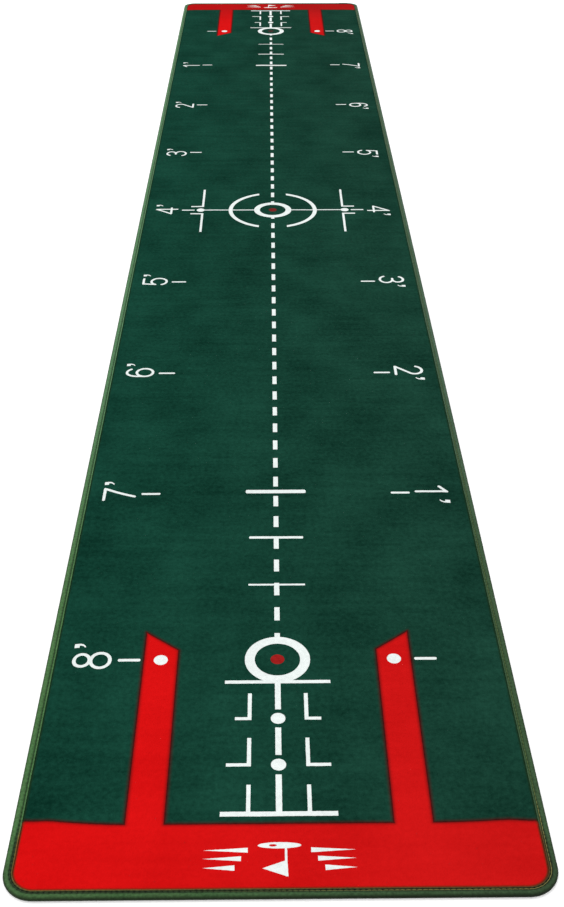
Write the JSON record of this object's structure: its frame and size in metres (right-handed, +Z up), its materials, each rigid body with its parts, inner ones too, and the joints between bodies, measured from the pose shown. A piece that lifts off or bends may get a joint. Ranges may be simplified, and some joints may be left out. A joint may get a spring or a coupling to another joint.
{
  "type": "practice putting mat",
  "caption": "Long narrow roll-out putting mat: rubber-backed velvet pile dyed with targets, foot marks and red end zones, its edge bound with stitched tape.",
  "frame": {"origin": "middle of the underside, on the floor", "axes": "+Y along the mat from the near end to the far end, +X to the right as seen from the near end, +Z up out of the pile"},
  "size_m": [0.5, 3.03, 0.0053],
  "materials": {
    "pile_green": "dyed cut-pile velvet, brushed",
    "pile_red": "dyed cut-pile velvet",
    "pile_spot_red": "dyed cut-pile velvet",
    "pile_white": "undyed cut-pile velvet",
    "ground_cloth": "woven cotton ground",
    "rubber_underside": "embossed anti-slip rubber",
    "binding_tape": "twill polyester tape",
    "seam_thread": "polyester lockstitch thread"
  },
  "bodies": {
    "root": {"bobbin_thread": "seam_thread", "centre_arcs": "pile_white", "centre_dashes_far": "pile_white", "centre_dashes_near": "pile_white", "centre_gate_left": "pile_white", "centre_gate_right": "pile_white", "distance_bars_far": "pile_white", "distance_bars_near": "pile_white", "edge_binding": "binding_tape", "emblem_far": "pile_white", "emblem_near": "pile_white", "foot_numerals_left": "pile_white", "foot_numerals_right": "pile_white", "foot_ticks_left": "pile_white", "foot_ticks_right": "pile_white", "gate_dots_far": "pile_white", "gate_dots_near": "pile_white", "green_field": "pile_green", "green_islands": "pile_green", "ground_cloth": "ground_cloth", "ladder_dots_far": "pile_white", "ladder_dots_near": "pile_white", "ladder_lines_far": "pile_white", "ladder_lines_near": "pile_white", "needle_thread": "seam_thread", "red_zone_far": "pile_red", "red_zone_near": "pile_red", "rubber_backing": "rubber_underside", "target_ring_centre": "pile_white", "target_ring_far": "pile_white", "target_ring_near": "pile_white", "target_spot_centre": "pile_spot_red", "target_spot_far": "pile_spot_red", "target_spot_near": "pile_spot_red"}
  },
  "joints": []
}
